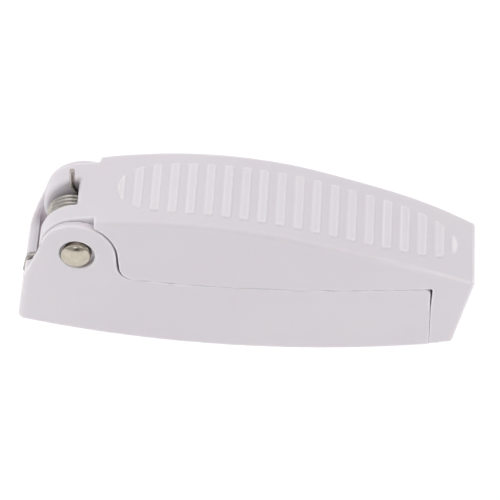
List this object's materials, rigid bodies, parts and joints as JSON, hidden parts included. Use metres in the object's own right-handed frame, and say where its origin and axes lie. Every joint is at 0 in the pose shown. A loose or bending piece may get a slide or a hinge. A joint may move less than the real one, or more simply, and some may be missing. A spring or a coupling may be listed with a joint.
{
  "type": "spring-loaded door catch",
  "caption": "Spring-loaded hold-back clip: a ribbed lever hinged at one end over a channel base, with a hooked nose and a flat screw-down face.",
  "frame": {"origin": "on the mounting face, under the middle of the overall length and width", "axes": "+X from the hinge end towards the nose, Y along the hinge pin, +Z away from the mounting face"},
  "size_m": [0.09, 0.0248, 0.031],
  "materials": {
    "base_plastic": "satin moulded white plastic",
    "lever_plastic": "satin moulded white plastic",
    "rivet_steel": "polished nickel-plated steel",
    "spring_steel": "drawn spring wire"
  },
  "bodies": {
    "base": {"base": "base_plastic", "rivet": "rivet_steel", "spring": "spring_steel"},
    "lever": {"lever": "lever_plastic"}
  },
  "joints": [
    {"name": "lever_hinge", "type": "hinge", "parent": "base", "child": "lever", "pos_m": [-0.033, 0, 0.02], "axis": [0, -1, 0], "range_deg": [0, 95], "stiffness_Nm_per_rad": 0.056, "springref_deg": -80.21, "deforming": ["spring"]}
  ]
}
